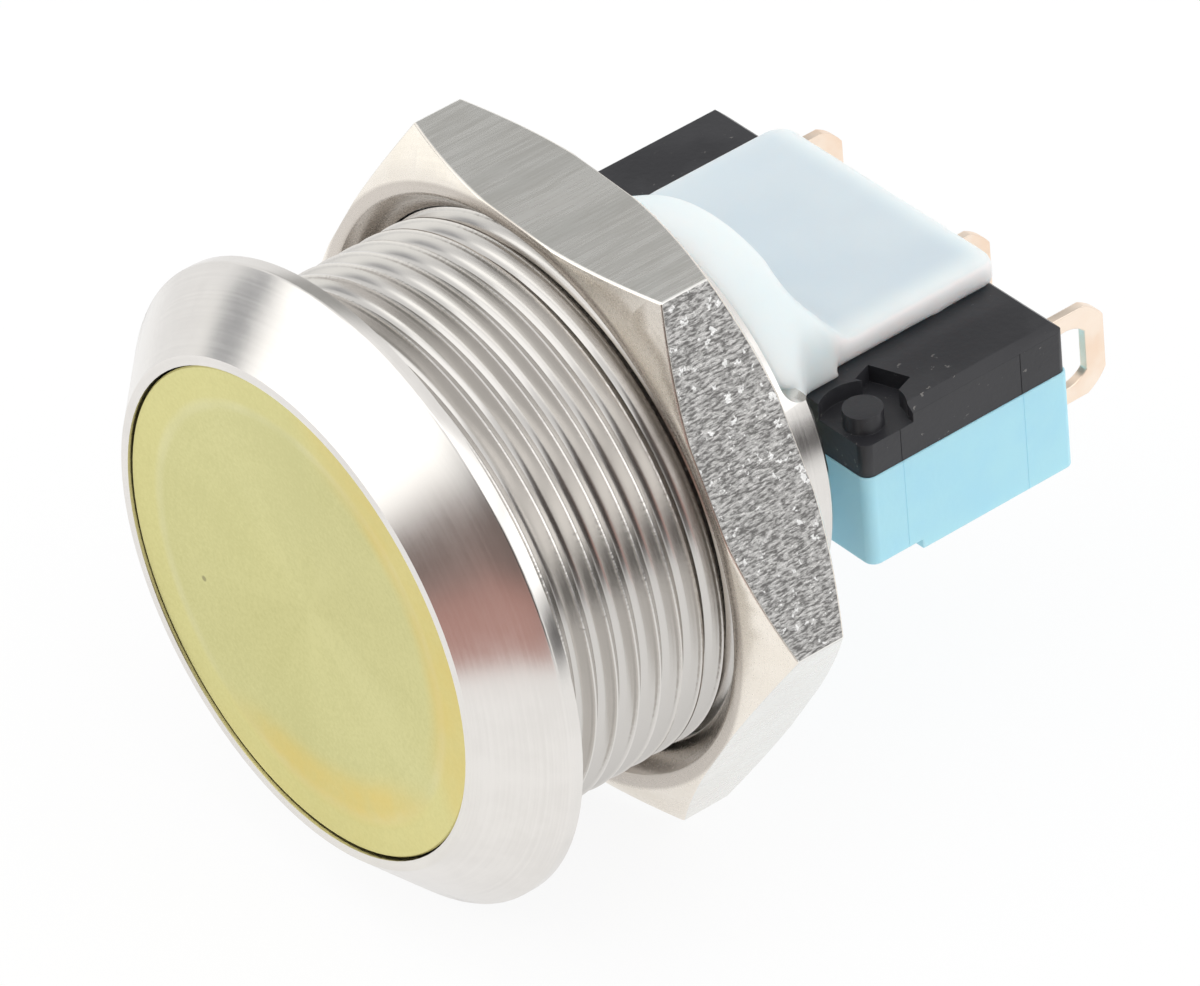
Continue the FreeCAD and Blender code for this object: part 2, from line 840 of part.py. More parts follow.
def blade_strip(name, x, front):
    """The terminal's flat strip, from a station inside the case out to its head."""
    half = of("terminal_thickness") / 2
    reach = of("terminal_width") / 2
    rear = base_rear + of("terminal_strip_reach")
    return box(f"{name}_strip", (x - half, x + half), (front, rear), (middle - reach, middle + reach))


def rivet_hole(name, x):
    radius = of("contact_shank_radius") + of("contact_fit")
    return rod(name, "y", radius, (front_arm - past, rear_arm_back + past), x=x, z=middle)


def make_terminal_closed():
    name = "terminal_normally_closed"
    x = of("closed_place")
    head, eye = eyelet(name, x, of("terminal_head_place"))
    strip = blade_strip(name, x, front_arm)
    half = of("arm_width") / 2
    tip = of("contact_place") - of("contact_radius")
    arm = box(f"{name}_arm", (tip, x), (front_arm, front_arm_back), (middle - half, middle + half))
    hole = rivet_hole(f"{name}_hole", of("contact_place"))
    return cut(name, join(f"{name}_whole", [head, strip, arm]), [eye, hole])


def make_terminal_open():
    name = "terminal_normally_open"
    x = of("open_place")
    head, eye = eyelet(name, x, of("terminal_head_place"))
    strip = blade_strip(name, x, rear_arm)
    half = of("arm_width") / 2
    tip = of("contact_place") + of("contact_radius")
    arm = box(f"{name}_arm", (x, tip), (rear_arm, rear_arm_back), (middle - half, middle + half))
    hole = rivet_hole(f"{name}_hole", of("contact_place"))
    return cut(name, join(f"{name}_whole", [head, strip, arm]), [eye, hole])


def make_terminal_common():
    """Carries the blade's root on a tab, and the snap spring on a narrow arm behind it."""
    name = "terminal_common"
    x = of("common_place")
    head, eye = eyelet(name, x, of("common_head_place"))
    strip = blade_strip(name, x, root_tab_front)
    reach = of("terminal_width") / 2
    tab_tip = x + of("root_tab_length") + of("terminal_thickness") / 2
    tab = box(f"{name}_tab", (x, tab_tip), (root_tab_front, root_tab_back), (middle - reach, middle + reach))
    half = of("spring_arm_width") / 2
    arm_front = blade_front + of("spring_arm_place")
    arm_y = (arm_front, arm_front + of("terminal_thickness"))
    arm_tip = snap_spring_start() - of("snap_spring_seat")
    arm = box(f"{name}_arm", (x, arm_tip), arm_y, (middle - half, middle + half))
    hole = rod(
        f"{name}_hole",
        "y",
        of("rivet_radius") + of("contact_fit"),
        (root_tab_front - past, root_tab_back + of("rivet_head")),
        x=of("pivot_place"),
        z=middle,
    )
    return cut(name, join(f"{name}_whole", [head, strip, tab, arm]), [eye, hole])


def make_moving_blade():
    """A thin leaf, windowed for the snap spring, which swings on its rivet."""
    left = of("pivot_place") - of("blade_root")
    right = of("contact_place") + of("blade_tip")
    half = of("blade_width") / 2
    span = (blade_front, blade_back)
    leaf = box("blade_leaf", (left, right), span, (middle - half, middle + half))
    gap = of("blade_window_width") / 2
    reach = (blade_front - past, blade_back + past)
    window = box(
        "blade_window",
        (of("pivot_place") + of("window_start"), of("pivot_place") + of("window_end")),
        reach,
        (middle - gap, middle + gap),
    )
    radius = of("rivet_radius") + of("contact_fit")
    root_hole = rod("blade_root_hole", "y", radius, reach, x=of("pivot_place"), z=middle)
    tip_radius = of("contact_shank_radius") + of("contact_fit")
    tip_hole = rod("blade_tip_hole", "y", tip_radius, reach, x=of("contact_place"), z=middle)
    return cut("moving_blade", leaf, [window, root_hole, tip_hole])


def snap_spring_centre():
    return of("pivot_place") + of("window_end") - of("snap_spring_radius"), blade_front


def snap_spring_start():
    """Where the snap spring's seated end stands, along X."""
    centre_x, _ = snap_spring_centre()
    return centre_x - of("snap_spring_lead")


def make_snap_spring():
    """A curved leaf, from the common terminal's arm to the far edge of the blade's window."""
    centre_x, centre_y = snap_spring_centre()
    half = of("snap_spring_width") / 2
    span = (middle - half, middle + half)
    outer_radius = of("snap_spring_radius")
    inner_radius = outer_radius - of("snap_spring_thickness")
    outer = rod("snap_outer", "z", outer_radius, span, x=centre_x, y=centre_y)
    clear = (middle - half - past, middle + half + past)
    inner = rod("snap_inner", "z", inner_radius, clear, x=centre_x, y=centre_y)
    ring = cut("snap_ring", outer, [inner])
    keep = box(
        "snap_keep",
        (snap_spring_start(), centre_x + outer_radius + past),
        (blade_back + of("snap_spring_top_gap"), centre_y + outer_radius + past),
        clear,
    )
    return overlap_of("snap_spring", ring, keep)


def contact(name, face, back, tail, towards):
    """A rivet with a domed head; its shank goes through what carries it, with a small headed tail."""
    dome = of("contact_dome") * towards
    profile = [
        (0, face),
        (of("contact_face_radius"), face),
        (of("contact_radius"), face + dome),
        (of("contact_radius"), back),
        (of("contact_shank_radius"), back),
        (of("contact_shank_radius"), tail),
        (0, tail),
    ]
    return place(turned_piece(name, profile), x=of("contact_place"), z=middle)


def make_moving_contact():
    """Double-headed, riveted through the blade's tip."""
    dome = of("contact_dome")
    profile = [
        (0, moving_front),
        (of("contact_face_radius"), moving_front),
        (of("contact_radius"), moving_front + dome),
        (of("contact_radius"), blade_front),
        (of("contact_shank_radius"), blade_front),
        (of("contact_shank_radius"), blade_back),
        (of("contact_radius"), blade_back),
        (of("contact_radius"), moving_back - dome),
        (of("contact_face_radius"), moving_back),
        (0, moving_back),
    ]
    return place(turned_piece("moving_contact", profile), x=of("contact_place"), z=middle)


def make_blade_rivet():
    """Holds the blade's root on the common terminal's tab, with a little play for the leaf."""
    front = blade_front - of("blade_gap")
    profile = [
        (0, front - of("rivet_head")),
        (of("rivet_head_radius"), front - of("rivet_head")),
        (of("rivet_head_radius"), front),
        (of("rivet_radius"), front),
        (of("rivet_radius"), root_tab_back),
        (of("rivet_head_radius"), root_tab_back),
        (of("rivet_head_radius"), root_tab_back + of("rivet_head")),
        (0, root_tab_back + of("rivet_head")),
    ]
    return place(turned_piece("blade_rivet", profile), x=of("pivot_place"), z=middle)


def make_switch_holder():
    """Nylon moulding: plug in the neck, shoulder through its window, and a saddle plate with two pegs."""
    clear = of("holder_clearance")
    plug_radius = rear_bore - clear
    plug_bore = of("stem_radius") + of("plug_bore_gap")
    plug_start = neck_end - of("plug_start")
    plug_rear = neck_end + clear
    bead = of("snap_bead_height")
    profile = [
        (plug_bore, plug_start),
        (plug_radius - bead, plug_start),
        (plug_radius, plug_start + bead),
        (plug_radius, bead_station - bead),
        (plug_radius + bead, bead_station),
        (plug_radius, bead_station + bead),
        (plug_radius, plug_rear),
        (plug_bore, plug_rear),
    ]
    plug = turned_piece("holder_plug", profile)
    top = of("cover_height") + clear
    plate_top = top + of("plate_thickness")

    # the shoulder is flush with the neck in its window, tapers to the rear and slopes down to the plate
    shoulder_front = window_start + clear
    shoulder_rear = switch_front + of("shoulder_rear")
    slope_end = shoulder_rear + of("slope_length")
    wide = neck_radius - clear
    narrow = wide - of("shoulder_taper")
    dome_profile = [
        (0, shoulder_front),
        (wide, shoulder_front),
        (narrow, shoulder_rear),
        (narrow, slope_end),
        (0, slope_end),
    ]
    dome = turned_piece("shoulder_dome", dome_profile)
    far = neck_radius + past
    key_floor = of("window_floor") + clear
    side_body = new_body("shoulder_side")
    side_points = [
        (shoulder_front, key_floor),
        (plug_rear, key_floor),
        (plug_rear, top),
        (slope_end, top),
        (slope_end, plate_top),
        (shoulder_rear + of("shoulder_lean"), top + of("slope_top")),
        (shoulder_rear, far),
        (shoulder_front, far),
    ]
    side_sketch = outline(side_body, "shoulder_side_outline", "YZ_Plane", side_points)
    side_pad = side_body.newObject("PartDesign::Pad", "shoulder_side_pad")
    side_pad.Profile = side_sketch
    side_pad.Midplane = True
    bind(side_pad, Length=far * 2)
    side_sketch.Visibility = False
    document.recompute()

    def at_key_corner(edge):
        bounds = edge.BoundBox
        flat = bounds.YLength < SAME and bounds.ZLength < SAME
        return flat and near(bounds.YMin, shoulder_front.value) and near(bounds.ZMin, key_floor.value)

    side = round_edges("shoulder_keyed", side_body, of("window_corner") + of("key_play"), at_key_corner)
    solid = overlap_of("shoulder_solid", dome, side)
    foot_side = of("plate_right") + of("foot_step")
    foot_end = switch_front + of("foot_length")
    plan_body = new_body("shoulder_plan_cutter")
    plan_points = [
        (of("shoulder_half_width"), plug_rear),
        (foot_side, switch_front),
        (foot_side, foot_end),
        (of("plate_right"), foot_end),
        (of("plate_right"), slope_end + past),
        (far, slope_end + past),
        (far, plug_rear),
    ]
    plan_sketch = outline(plan_body, "shoulder_plan_outline", "XY_Plane", plan_points)
    plan_pad = plan_body.newObject("PartDesign::Pad", "shoulder_plan_pad")
    plan_pad.Profile = plan_sketch
    bind(plan_pad, Length=far)
    plan_sketch.Visibility = False
    document.recompute()
    bore = rod("shoulder_bore", "y", plug_bore, (shoulder_front - past, switch_front - clear))
    shoulder = cut("holder_shoulder", solid, [plan_body, bore])

    plate_rear = switch_rear + of("plate_overhang")
    plate = box(
        "plate_block",
        (of("plate_left"), of("plate_right")),
        (slope_end - of("plate_root"), plate_rear),
        (top, plate_top),
    )

    def at_rear_corner(edge):
        return is_upright(edge, y=plate_rear)

    cornered = round_edges("plate_cornered", plate, of("plate_corner"), at_rear_corner)

    def at_top_side(edge):
        bounds = edge.BoundBox
        return near(bounds.ZMin, plate_top.value) and bounds.YMax > slope_end.value

    saddle = round_edges("plate_rounded", cornered, of("plate_round"), at_top_side)
    peg_radius = of("hole_radius") - of("peg_clearance")
    peg_bottom = -of("base_height") + of("peg_short")
    pegs = []
    for number, (x, y) in enumerate(mounting_holes()):
        peg = rod(f"peg_{number}", "z", peg_radius, (peg_bottom, top + of("plate_thickness") / 2), x=x, y=y)

        def at_tip(edge):
            return near(edge.BoundBox.ZMax, peg_bottom.value)

        pegs.append(round_edges(f"peg_{number}_tip", peg, of("peg_chamfer"), at_tip, "Part::Chamfer"))
    return join("switch_holder", [plug, shoulder, saddle] + pegs)


def check_and_write(pieces):
    """Every feature has to be sound before any file is written."""
    document.recompute()
    for thing in document.Objects:
        if "Invalid" in thing.State or "Error" in thing.State:
            raise RuntimeError(f"{thing.Label} failed: {thing.State}")
    for piece in pieces:
        shape = piece.Shape
        if shape.isNull() or not shape.isValid() or not shape.Solids:
            raise RuntimeError(f"{piece.Label} has no sound solid")
        if len(shape.Solids) != 1:
            raise RuntimeError(f"{piece.Label} is {len(shape.Solids)} solids")
    os.makedirs("parts", exist_ok=True)
    for piece in pieces:
        piece.Shape.exportStep(f"parts/{piece.Label}.step")
        print(f"{piece.Label}: {piece.Shape.Volume:.2f} mm3")


front_contact_tail = front_arm + of("contact_fit")
rear_contact_tail = rear_arm_back - of("contact_fit")
PIECES = [
    make_bushing(),
    make_push_button(),
    make_button_seal(),
    make_return_spring(),
    make_retaining_ring(),
    make_stem_pusher(),
    make_panel_nut(),
    make_switch_holder(),
    make_switch_base(),
    make_switch_cover(),
    make_switch_plunger(),
    make_terminal_common(),
    make_terminal_open(),
    make_terminal_closed(),
    make_moving_blade(),
    make_snap_spring(),
    make_moving_contact(),
    contact("fixed_contact_normally_closed", front_contact_back, front_arm_back, front_contact_tail, -1),
    contact("fixed_contact_normally_open", rear_contact_front, rear_arm, rear_contact_tail, 1),
    make_blade_rivet(),
]
check_and_write(PIECES)
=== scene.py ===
import math

import bmesh
import bpy
import numpy as np
from mathutils import Matrix, Vector


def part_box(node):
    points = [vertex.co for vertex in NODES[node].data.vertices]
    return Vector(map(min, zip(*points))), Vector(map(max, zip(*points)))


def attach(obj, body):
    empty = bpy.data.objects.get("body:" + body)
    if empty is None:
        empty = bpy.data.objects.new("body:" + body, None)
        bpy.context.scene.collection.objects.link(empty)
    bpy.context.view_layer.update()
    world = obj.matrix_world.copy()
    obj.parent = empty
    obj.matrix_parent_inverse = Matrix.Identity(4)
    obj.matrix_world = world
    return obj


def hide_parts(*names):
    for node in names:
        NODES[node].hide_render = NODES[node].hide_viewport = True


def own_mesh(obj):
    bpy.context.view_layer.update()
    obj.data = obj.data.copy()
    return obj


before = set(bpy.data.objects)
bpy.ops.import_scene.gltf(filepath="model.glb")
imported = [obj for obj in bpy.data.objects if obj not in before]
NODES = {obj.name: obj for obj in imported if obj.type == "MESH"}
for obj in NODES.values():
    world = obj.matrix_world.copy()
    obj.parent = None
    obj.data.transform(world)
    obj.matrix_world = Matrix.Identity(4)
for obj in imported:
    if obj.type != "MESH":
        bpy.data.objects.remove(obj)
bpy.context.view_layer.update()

# Metres, in the row frame: the barrel lies along Y, the button faces -Y and Z is up.
MM = 0.001

# ---- sizes

# The thread: right-hand, with rounded roots, faded out at the flange and chamfered at its free end
CREST_RADIUS = 10.9 * MM
THREAD_DEPTH = 0.52 * MM
PITCH = 1.0 * MM
FIRST_CREST = 0.3 * MM
RUN_OUT = 0.45 * MM
THREAD_END = 13.0 * MM
THREAD_CHAMFER = 0.5 * MM
THREAD_COLUMNS = 288
# Its rows of points from one crest to the next, as shares of the pitch, and half of the crest's flat
THREAD_ROWS = (0.0, 0.035, 0.09, 0.17, 0.26, 0.36, 0.5, 0.64, 0.74, 0.83, 0.91, 0.965)
CREST_HALF = 0.035
ROOT_POWER = 0.95

# The radius at which the dish in the button's face ends
RING_RADIUS = 8.4 * MM
# The cap is shown fuller than the solid, because the real gap round it is narrower than the solid's
# clearance: its face stands forward by the rise, the edge round the face keeps this share of its
# size, and all that lies beyond the side's radius comes nearer to the well by the swell
CAP_FACE_DEPTH = 0.35 * MM
CAP_RISE = 0.13 * MM
CAP_EDGE = 0.3 * MM
EDGE_SHARE = 0.4
CAP_SIDE = 9.5 * MM
CAP_SWELL = 0.15 * MM

# The direction that the nut's coarsely milled flat faces, from +X towards +Z
ROUGH_FLAT = math.radians(26.33)
# Radii over which the painted shade in the nut's countersinks fades out
COUNTERSINK_EDGE = (12.3 * MM, 12.5 * MM)

# Seams across the right-hand side of the switch's cover and case
SEAM_STATIONS = (18.8 * MM, 24.65 * MM)
SEAM_WIDTH = 0.035 * MM
SEAM_DEPTH = 0.02 * MM
SEAM_SIDE = 8.0 * MM

# The holder's even mesh, and its turns of smoothing: all over, at the shoulder and at the foot
HOLDER_VOXEL = 0.14 * MM
SMOOTHING_TURNS = (8, 20, 82)
# Stations in millimetres: where the smoothing begins behind the bushing, and where each part ends
HOLDER_BARE = (14.2, 14.8)
SHOULDER_END = 20.6
FOOT_END = 19.2

# Where painted shade darkens the holder's plate over the switch below, and where painted light
# brightens its free side
PAINTED_SHADE_FRONT = (17.6 * MM, 20.0 * MM)
PAINTED_SHADE_REAR = (25.6 * MM, 27.0 * MM)
PAINTED_SHADE_SIDE = (3.4 * MM, 5.0 * MM)
PAINTED_LIGHT_FRONT = (18.0 * MM, 19.5 * MM)

# How wide the rounding of each piece's sharp edges is
BUTTON_ROUNDING = 0.03 * MM
NUT_ROUNDING = 0.09 * MM
BASE_ROUNDING = 0.08 * MM
COVER_ROUNDING = 0.06 * MM
TERMINAL_ROUNDING = 0.05 * MM

# Angles in degrees: below the first a face counts as flat, above the others an edge is sharp
FLAT_ANGLE = 0.4
ROUNDED_ANGLE = 34
SEAMED_ANGLE = 50
THREAD_ANGLE = 28
SPRING_ANGLE = 60

# How far apart points may lie that are one, in the CAD meshes and in the thread, and what is near
WELD = 0.0005 * MM
THREAD_WELD = 0.0002 * MM
THINNEST = 0.001 * MM
NEAR = 0.004 * MM


# ---- node materials

class Material:
    """A node material with one Principled shader, and short ways to add nodes to it."""

    def __init__(self, name, color, roughness, metallic=0.0):
        self.material = bpy.data.materials.new(name)
        self.material.use_nodes = True
        self.tree = self.material.node_tree
        self.shader = self.tree.nodes["Principled BSDF"]
        self.set("Base Color", (*color, 1.0))
        self.set("Roughness", roughness)
        self.set("Metallic", metallic)

    def set(self, socket, value):
        self.shader.inputs[socket].default_value = value

    def feed(self, socket, source):
        self.tree.links.new(source, self.shader.inputs[socket])

    def node(self, kind, **settings):
        made = self.tree.nodes.new(kind)
        for key, value in settings.items():
            setattr(made, key, value)
        return made

    def into(self, node, index, value):
        """Put a number, a tuple or another node's output into one of a node's sockets."""
        if isinstance(value, bpy.types.NodeSocket):
            self.tree.links.new(value, node.inputs[index])
        else:
            node.inputs[index].default_value = value

    def place(self):
        return self.node("ShaderNodeTexCoord").outputs["Object"]

    def normal(self):
        return self.node("ShaderNodeNewGeometry").outputs["Normal"]

    def math(self, operation, *values):
        node = self.node("ShaderNodeMath", operation=operation)
        for index, value in enumerate(values):
            self.into(node, index, value)
        return node.outputs[0]

    def times(self, product, *others):
        for other in others:
            product = self.math("MULTIPLY", product, other)
        return product

    def plus(self, total, *others):
        for other in others:
            total = self.math("ADD", total, other)
        return total

    def length(self, x, y):
        return self.math("SQRT", self.plus(self.times(x, x), self.times(y, y)))

    def vector_math(self, operation, first, second):
        """What comes of two vectors as one number, such as their dot product or distance."""
        node = self.node("ShaderNodeVectorMath", operation=operation)
        self.into(node, 0, first)
        self.into(node, 1, second)
        return node.outputs["Value"]

    def split(self, vector):
        node = self.node("ShaderNodeSeparateXYZ")
        self.into(node, 0, vector)
        return node.outputs

    def join(self, x, y, z=0.0):
        node = self.node("ShaderNodeCombineXYZ")
        for index, value in enumerate((x, y, z)):
            self.into(node, index, value)
        return node.outputs[0]

    def noise(self, vector, scale, detail=3.0, roughness=0.5):
        node = self.node("ShaderNodeTexNoise")
        self.into(node, 0, vector)
        node.inputs["Scale"].default_value = scale
        node.inputs["Detail"].default_value = detail
        node.inputs["Roughness"].default_value = roughness
        return node.outputs[0]

    def stretched_noise(self, vector, scales, detail=3.0, roughness=0.5):
        """Noise with a scale of its own along each axis."""
        mapping = self.node("ShaderNodeMapping")
        self.into(mapping, 0, vector)
        mapping.inputs["Scale"].default_value = scales
        return self.noise(mapping.outputs[0], 1.0, detail, roughness)

    def ramp(self, value, low, high, out_low=0.0, out_high=1.0):
        node = self.node("ShaderNodeMapRange", interpolation_type="SMOOTHSTEP")
        for index, number in enumerate((value, low, high, out_low, out_high)):
            self.into(node, index, number)
        return node.outputs[0]

    def blend_value(self, factor, first, second):
        node = self.node("ShaderNodeMix", data_type="FLOAT")
        self.into(node, 0, factor)
        self.into(node, 2, first)
        self.into(node, 3, second)
        return node.outputs[0]

    def blend(self, factor, first, second):
        node = self.node("ShaderNodeMix", data_type="RGBA")
        self.into(node, 0, factor)
        self.into(node, 6, (*first, 1.0) if isinstance(first, tuple) else first)
        self.into(node, 7, (*second, 1.0) if isinstance(second, tuple) else second)
        return node.outputs[2]

    def bump(self, height, distance, normal=None):
        """A normal with this relief, laid over another bump's normal where one is given."""
        node = self.node("ShaderNodeBump")
        node.inputs["Strength"].default_value = 1.0
        node.inputs["Distance"].default_value = distance
        self.into(node, "Height", height)
        if normal is not None:
            self.into(node, "Normal", normal)
        return node.outputs[0]

    def radius(self):
        """Distance from the barrel's axis, and the station and angle round it."""
        x, y, z = self.split(self.place())
        return self.length(x, z), y, self.math("ARCTAN2", z, x)

    def turned(self, amount):
        """Draw reflections out across a lathe's marks, which run round the barrel's axis."""
        self.set("Anisotropic", amount)
        self.set("Anisotropic Rotation", 0.25)
        tangent = self.node("ShaderNodeTangent", direction_type="RADIAL", axis="Y")
        self.feed("Tangent", tangent.outputs[0])


def bushing_material():
    """Lathe-turned steel; its thread is coloured darker, most of all below its crests, with small
    nicks and tears along the crests.
    """
    roughness, lines = 0.21, 9000.0
    m = Material("bushing_turned_steel", (0.80, 0.775, 0.745), roughness, 1.0)
    across, along, angle = m.radius()
    lathe = m.join(m.times(across, lines), m.times(along, lines), m.times(angle, 0.35))
    fine = m.noise(lathe, 1.0, 4.0, 0.6)
    cloud = m.noise(m.place(), 420.0, 5.0, 0.65)
    mixed = m.plus(m.times(fine, 0.4), m.times(cloud, 0.6))
    polished = m.blend(m.ramp(mixed, 0.36, 0.62), (0.75, 0.725, 0.695), (0.80, 0.775, 0.745))
    # masks: the barrel's outside, and on it the thread below its crests; both are coloured darker
    near_flange = m.ramp(along, 0.02 * MM, 0.3 * MM)
    barrel = m.times(near_flange, m.ramp(along, THREAD_END - 0.1 * MM, THREAD_END, 1.0, 0.0))
    outside = m.times(barrel, m.ramp(across, CREST_RADIUS - 0.8 * MM, CREST_RADIUS - 0.7 * MM))
    below = m.ramp(across, CREST_RADIUS - 0.10 * MM, CREST_RADIUS - 0.01 * MM, 1.0, 0.0)
    darker_barrel = m.blend(m.times(outside, 0.5), polished, (0.66, 0.635, 0.605))
    m.feed("Base Color", m.blend(m.times(outside, below, 0.85), darker_barrel, (0.62, 0.60, 0.575)))
    m.feed("Roughness", m.ramp(mixed, 0.36, 0.66, roughness * 0.9, roughness * 1.15))
    around = m.times(angle, CREST_RADIUS)
    nicks = m.noise(m.join(m.times(around, 5200.0), m.times(along, 2600.0)), 1.0, 3.0, 0.7)
    at_crest = m.ramp(across, CREST_RADIUS - 0.16 * MM, CREST_RADIUS - 0.05 * MM)
    turned_lines = m.bump(fine, 0.0008 * MM)
    m.feed("Normal", m.bump(m.times(at_crest, outside, nicks), 0.02 * MM, turned_lines))
    m.turned(0.3)
    return m.material


def button_material():
    """Yellow-green anodised aluminium with a blasted skin, a painted highlight along the ring's step,
    and painted warm reflections in places.
    """
    m = Material("button_anodised_satin", (0.66, 0.63, 0.30), 0.42, 1.0)
    place = m.place()
    across, _, angle = m.radius()
    fine = m.noise(m.join(m.times(across, 4200.0), m.times(angle, 0.6)), 1.0, 4.0, 0.6)
    cloud = m.noise(place, 170.0, 3.0, 0.5)
    skin = m.noise(place, 6500.0, 3.0, 0.7)
    fan = m.noise(m.join(m.times(angle, 1.6), m.times(across, 90.0)), 1.0, 3.0)
    mixed = m.plus(m.times(skin, 0.35), m.times(cloud, 0.3), m.times(fan, 0.25), m.times(fine, 0.1))
    mottling = m.ramp(mixed, 0.38, 0.62)
    # the ring outside the dish is a shade yellower, and a pale painted highlight, broken up by noise,
    # runs along its step
    dish_color = m.blend(mottling, (0.62, 0.595, 0.27), (0.70, 0.672, 0.33))
    ring_color = m.blend(mottling, (0.665, 0.625, 0.27), (0.735, 0.695, 0.32))
    ring = m.ramp(across, RING_RADIUS - 0.1 * MM, RING_RADIUS + 0.3 * MM)
    line_in = m.ramp(across, RING_RADIUS - 0.4 * MM, RING_RADIUS - 0.05 * MM)
    line_out = m.ramp(across, RING_RADIUS + 0.05 * MM, RING_RADIUS + 0.35 * MM, 1.0, 0.0)
    step_highlight_strength = m.ramp(m.noise(place, 300.0, 2.0), 0.3, 0.6, 0.05, 0.3)
    ringed = m.blend(ring, dish_color, ring_color)
    with_step_highlight = m.blend(m.times(line_in, line_out, step_highlight_strength), ringed, (0.80, 0.77, 0.50))
    # painted reflections in a warm colour: a broad one low inside the rim of the dish, and one on the
    # right of the ring
    low_way, right_way = (0.16, 0.0, -0.987), (0.906, 0.0, 0.423)
    low_side = m.vector_math("DOT_PRODUCT", place, low_way)
    low = m.times(m.ramp(low_side, 5.0 * MM, 7.4 * MM), m.ramp(across, 6.2 * MM, 7.6 * MM))
    low = m.times(low, m.ramp(across, RING_RADIUS - 0.2 * MM, RING_RADIUS + 0.5 * MM, 1.0, 0.15))
    right_side = m.vector_math("DOT_PRODUCT", place, right_way)
    right = m.times(m.ramp(right_side, 4.5 * MM, 7.5 * MM), m.ramp(across, 7.3 * MM, 8.3 * MM))
    patch = m.ramp(m.noise(place, 330.0, 4.0, 0.6), 0.36, 0.64, 0.42, 0.72)
    painted_reflection = m.times(m.math("MAXIMUM", low, m.times(right, 0.8)), patch)
    with_painted_reflection = m.blend(painted_reflection, with_step_highlight, (0.78, 0.60, 0.17))
    # one small dark mark
    mark_place = (-6.2 * MM, -2.7 * MM, -1.9 * MM)
    mark = m.ramp(m.vector_math("DISTANCE", place, mark_place), 0.08 * MM, 0.16 * MM, 0.6, 0.0)
    m.feed("Base Color", m.blend(mark, with_painted_reflection, (0.2, 0.18, 0.1)))
    m.feed("Roughness", m.ramp(cloud, 0.3, 0.7, 0.38, 0.46))
    m.feed("Normal", m.bump(m.plus(m.times(fine, 0.4), m.times(skin, 0.6)), 0.004 * MM))
    m.turned(0.35)
    return m.material


def nut_material():
    """Plated nut: smooth turned faces, finely ground flats, and one pair of flats coarsely milled."""
    m = Material("nut_plated_steel", (0.90, 0.84, 0.75), 0.24, 1.0)
    place, normal = m.place(), m.normal()
    across, _, angle = m.radius()
    # masks: the coarse pair of flats, and the other flats
    rough_way = (math.cos(ROUGH_FLAT), 0.0, math.sin(ROUGH_FLAT))
    facing = m.vector_math("DOT_PRODUCT", normal, rough_way)
    coarse = m.ramp(m.math("ABSOLUTE", facing), 0.93, 0.97)
    _, facing_y, _ = m.split(normal)
    side = m.ramp(m.math("ABSOLUTE", facing_y), 0.25, 0.4, 1.0, 0.0)
    rough_face = m.times(coarse, side)
    fine_face = m.times(m.math("SUBTRACT", 1.0, coarse), side)
    # the cutter's and the wheel's marks lie along the nut's axis
    ground = m.stretched_noise(place, (9000.0, 420.0, 9000.0), 4.0, 0.6)
    milled = m.stretched_noise(place, (11000.0, 2900.0, 11000.0), 4.0, 0.7)
    torn = m.stretched_noise(place, (2700.0, 2300.0, 2700.0), 3.0, 0.6)
    lathe = m.noise(m.join(m.times(across, 6500.0), m.times(angle, 0.4)), 1.0, 3.0)
    cloud = m.noise(place, 380.0, 4.0, 0.6)
    # the turned faces, with painted shade in the countersinks, then the ground flats and the milled
    # ones
    plated = m.blend(m.ramp(cloud, 0.35, 0.65), (0.88, 0.82, 0.735), (0.93, 0.875, 0.80))
    # painted shade: the countersinks are coloured darker
    plated = m.blend(m.ramp(across, *COUNTERSINK_EDGE, 0.9, 0.0), plated, (0.60, 0.55, 0.50))
    grey = m.blend(m.ramp(m.plus(ground, cloud), 0.8, 1.2), (0.85, 0.835, 0.80), (0.89, 0.88, 0.85))
    stone = m.blend(m.ramp(milled, 0.38, 0.62), (0.17, 0.165, 0.16), (0.60, 0.59, 0.575))
    stone = m.blend(m.times(m.ramp(torn, 0.61, 0.66), 0.85), stone, (0.94, 0.935, 0.925))
    m.feed("Base Color", m.blend(rough_face, m.blend(fine_face, plated, grey), stone))
    smooth_rough = m.ramp(m.plus(ground, lathe), 0.7, 1.3, 0.22, 0.3)
    grainy = m.ramp(milled, 0.45, 0.65, 0.42, 0.2)
    m.feed("Roughness", m.blend_value(rough_face, smooth_rough, grainy))
    turned_lines = m.bump(m.times(lathe, m.math("SUBTRACT", 1.0, side)), 0.0015 * MM)
    scratches = m.bump(m.times(ground, fine_face), 0.0013 * MM, turned_lines)
    chipped = m.bump(m.times(torn, rough_face), 0.05 * MM, scratches)
    m.feed("Normal", m.bump(m.times(milled, rough_face), 0.035 * MM, chipped))
    return m.material


